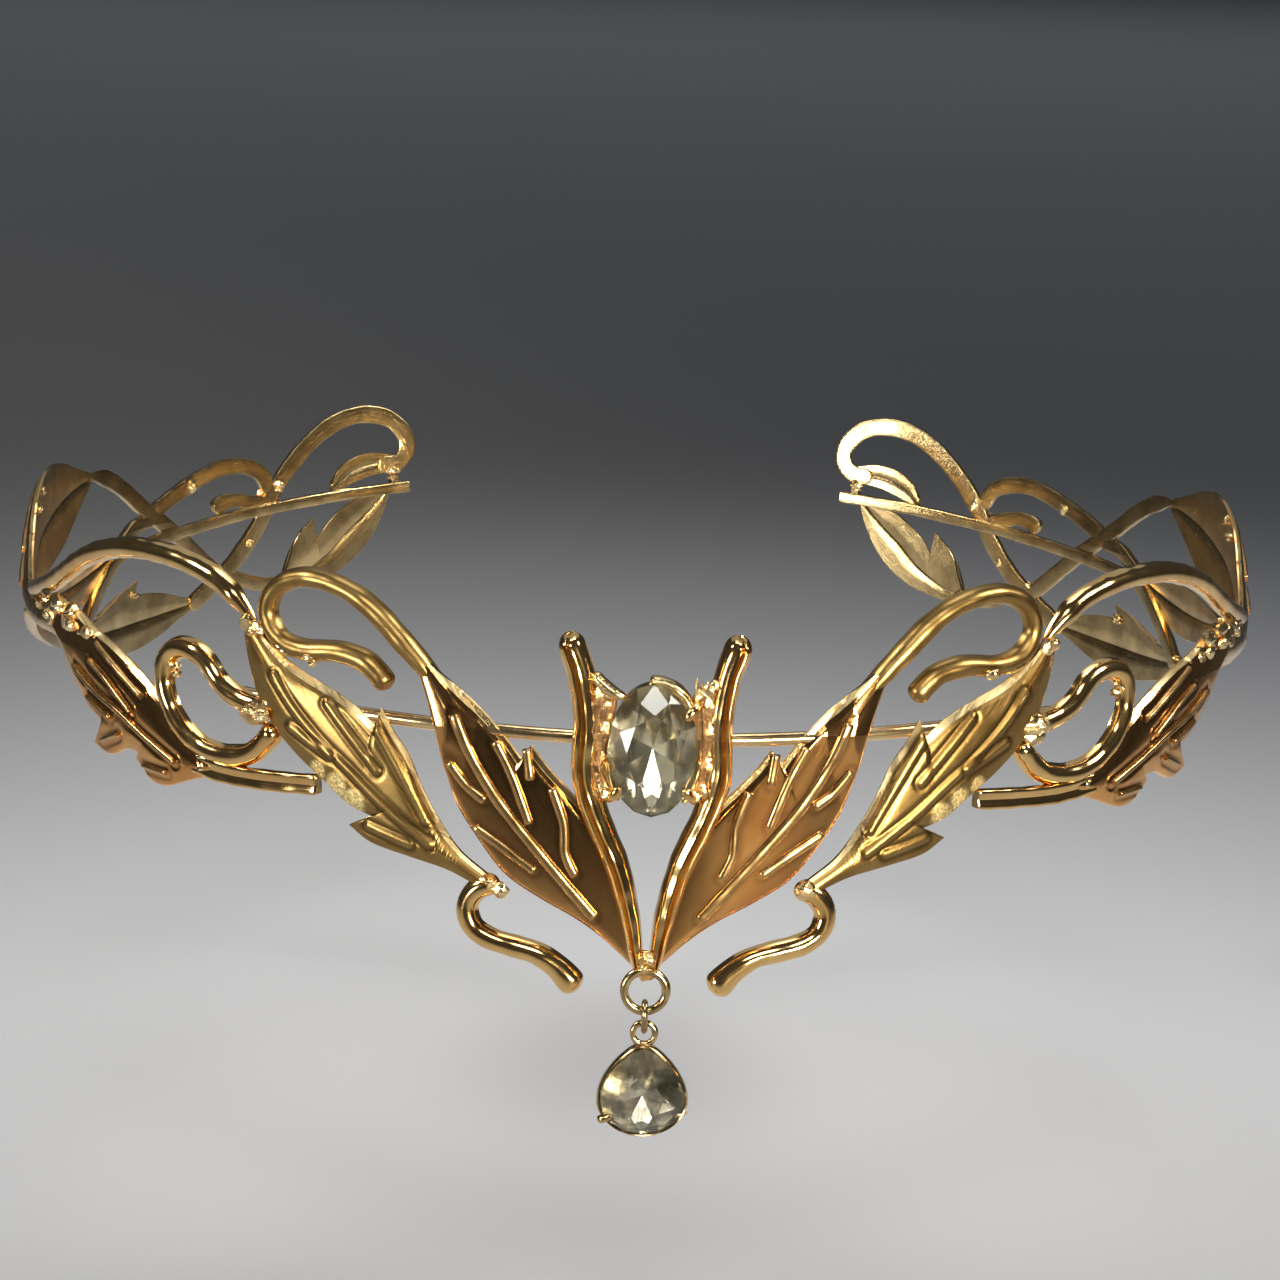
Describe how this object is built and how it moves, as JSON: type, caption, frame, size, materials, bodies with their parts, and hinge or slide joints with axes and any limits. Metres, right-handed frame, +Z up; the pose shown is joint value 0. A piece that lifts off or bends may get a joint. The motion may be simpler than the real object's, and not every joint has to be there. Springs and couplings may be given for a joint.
{
  "type": "leaf crown",
  "caption": "Open-backed metal circlet of cast leaves and curling tendrils, with an oval crystal between front twigs and a pear drop hanging below.",
  "frame": {"origin": "middle of the oval head opening, at the height of the plain wire behind the front leaves, where the crown sits on a head", "axes": "+Z up as worn, -Y towards the front with the stone and the drop, +X to the right seen from the front; the open back is towards +Y"},
  "size_m": [0.156, 0.1599, 0.0593],
  "materials": {
    "gold_frame": "polished gold plate in front, satin flat backs",
    "gold_link": "polished gold plate",
    "gold_setting": "polished gold plate",
    "centre_crystal": "clear cut crystal with a champagne tint",
    "drop_crystal": "clear cut crystal with a champagne tint"
  },
  "bodies": {
    "crown": {"crown_frame": "gold_frame", "centre_stone": "centre_crystal"},
    "link": {"drop_link": "gold_link"},
    "drop": {"drop_setting": "gold_setting", "drop_stone": "drop_crystal"}
  },
  "joints": [
    {"name": "link_swing", "type": "hinge", "parent": "crown", "child": "link", "pos_m": [0, -0.08215, -0.02985], "axis": [1, 0, 0], "range_deg": [-60, 60]},
    {"name": "drop_swing", "type": "hinge", "parent": "link", "child": "drop", "pos_m": [0, -0.08215, -0.032], "axis": [0, 1, 0], "range_deg": [-50, 50]}
  ]
}
